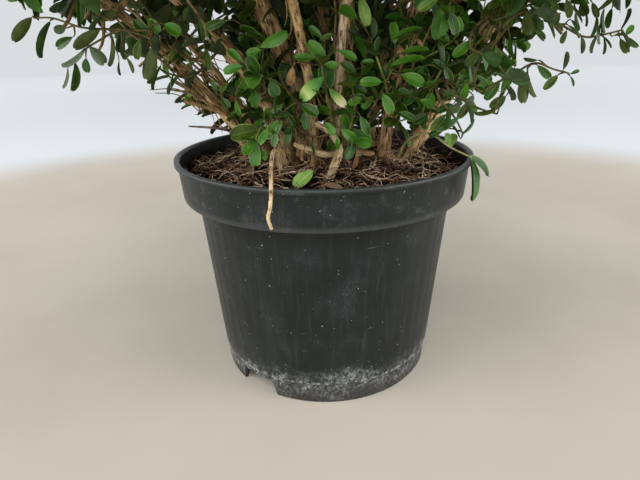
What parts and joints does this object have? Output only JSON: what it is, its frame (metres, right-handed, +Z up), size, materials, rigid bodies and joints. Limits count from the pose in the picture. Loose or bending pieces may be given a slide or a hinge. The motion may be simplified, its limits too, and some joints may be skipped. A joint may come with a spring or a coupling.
{
  "type": "potted box topiary ball",
  "caption": "Clipped box shrub grown as a round ball on a clump of bare woody stems, standing in a tapered black plastic nursery pot filled with compost.",
  "frame": {"origin": "middle of the pot's flat underside, at ground level", "axes": "+Z up through the middle of the plant, -Y towards the front seen in the picture, +X to its right"},
  "size_m": [0.6186, 0.6102, 0.7991],
  "materials": {
    "pot_plastic": "black moulded polypropylene, satin, scuffed, with a chalky tide mark round the foot",
    "compost": "dark peaty compost matted with tan fibrous roots",
    "bark": "tan brown fissured bark",
    "pale_bark": "pale smooth bark of young and dead shoots",
    "leaves": "small glossy deep green leaves with pale margins"
  },
  "bodies": {
    "root": {"pot": "pot_plastic", "soil": "compost", "stem_left_low_front": "bark", "stem_left_low_back": "bark", "stem_left_thick": "bark", "stem_left_old": "bark", "stem_centre_left": "bark", "stem_centre_front": "bark", "stem_centre_top": "bark", "stem_right_straight": "bark", "stem_right_outer": "bark", "stem_right_thin": "bark", "stem_right_thick": "bark", "stem_back_left": "bark", "stem_back_middle": "bark", "stem_back_right": "bark", "stem_bent": "pale_bark", "stem_bent_arm": "pale_bark", "loose_shoot": "pale_bark", "dead_twig_left": "pale_bark", "dead_twig_left_upper": "pale_bark", "shoot_arching": "leaves", "shoot_front_left": "leaves", "shoot_front_left_high": "leaves", "shoot_front_middle": "leaves", "shoot_front_middle_low": "leaves", "shoot_front_right": "leaves", "shoot_right": "leaves", "shoot_right_far": "leaves", "foliage_front": "leaves", "foliage_right_front": "leaves", "foliage_right_back": "leaves", "foliage_back": "leaves", "foliage_left_back": "leaves", "foliage_left_front": "leaves", "foliage_top": "leaves"}
  },
  "joints": []
}
